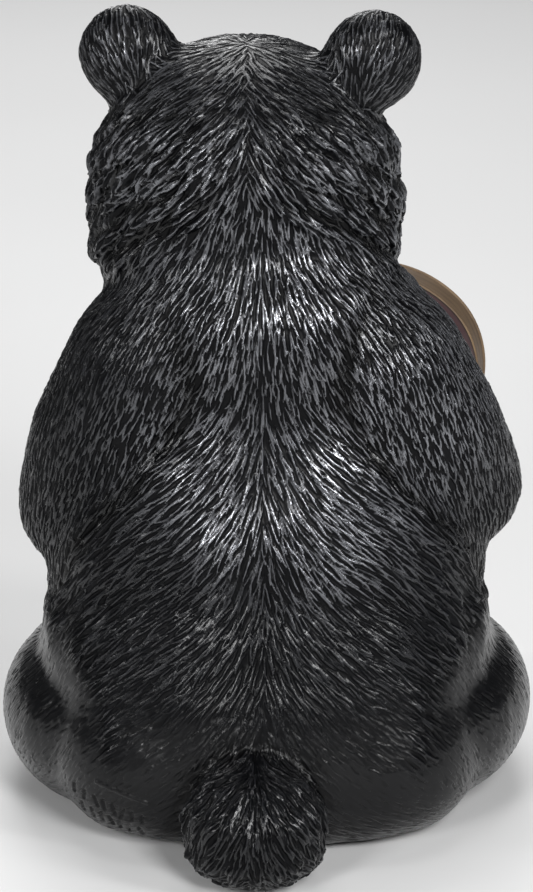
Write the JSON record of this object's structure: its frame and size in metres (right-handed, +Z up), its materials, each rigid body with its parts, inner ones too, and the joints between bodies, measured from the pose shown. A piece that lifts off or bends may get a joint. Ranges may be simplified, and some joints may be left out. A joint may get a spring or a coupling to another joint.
{
  "type": "bear figurine",
  "caption": "Seated black bear figurine with carved fur, hugging a small brown guitar, resting on its flat underside.",
  "frame": {"origin": "middle of the figure's box, on the surface that it sits on", "axes": "+Z up, the bear faces -Y, its left side is towards +X"},
  "size_m": [0.1954, 0.2276, 0.2902],
  "materials": {
    "black_paint": "glossy black paint over carved fur",
    "wood_paint": "satin paint, wood-grained brown"
  },
  "bodies": {
    "root": {"bear": "black_paint", "guitar": "wood_paint"}
  },
  "joints": []
}
